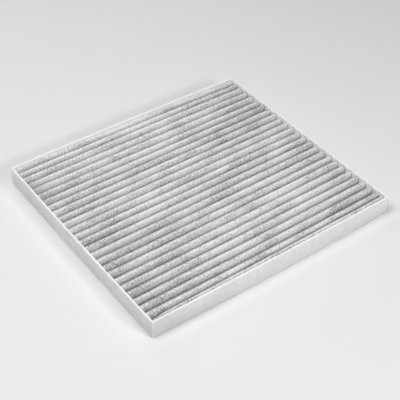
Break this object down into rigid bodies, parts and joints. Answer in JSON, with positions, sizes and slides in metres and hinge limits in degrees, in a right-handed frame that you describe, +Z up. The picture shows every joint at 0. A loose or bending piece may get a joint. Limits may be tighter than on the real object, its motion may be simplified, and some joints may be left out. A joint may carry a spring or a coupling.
{
  "type": "pleated cabin air filter",
  "caption": "Flat rectangular cabin air filter: a pleated carbon fleece sheet closed on all four edges by stiff felt strips.",
  "frame": {"origin": "middle of the underside, level with the lower rims of the edge strips", "axes": "+X along the pleats, +Y across the pleats towards the rear edge, +Z up through the pleat depth"},
  "size_m": [0.24, 0.215, 0.017],
  "materials": {
    "filter_media": "matt off-white nonwoven fleece with fine grey carbon grains showing through in speckles and blotches",
    "edge_felt": "matt white needled felt, pressed nearly smooth, with faintly fuzzy cut rims",
    "hot_melt": "thin whitish hot-melt adhesive film, satin"
  },
  "bodies": {
    "root": {"pleated_media": "filter_media", "left_side_strip": "edge_felt", "right_side_strip": "edge_felt", "front_end_strip": "edge_felt", "rear_end_strip": "edge_felt", "left_glue_film": "hot_melt", "right_glue_film": "hot_melt", "front_glue_film": "hot_melt", "rear_glue_film": "hot_melt"}
  },
  "joints": []
}
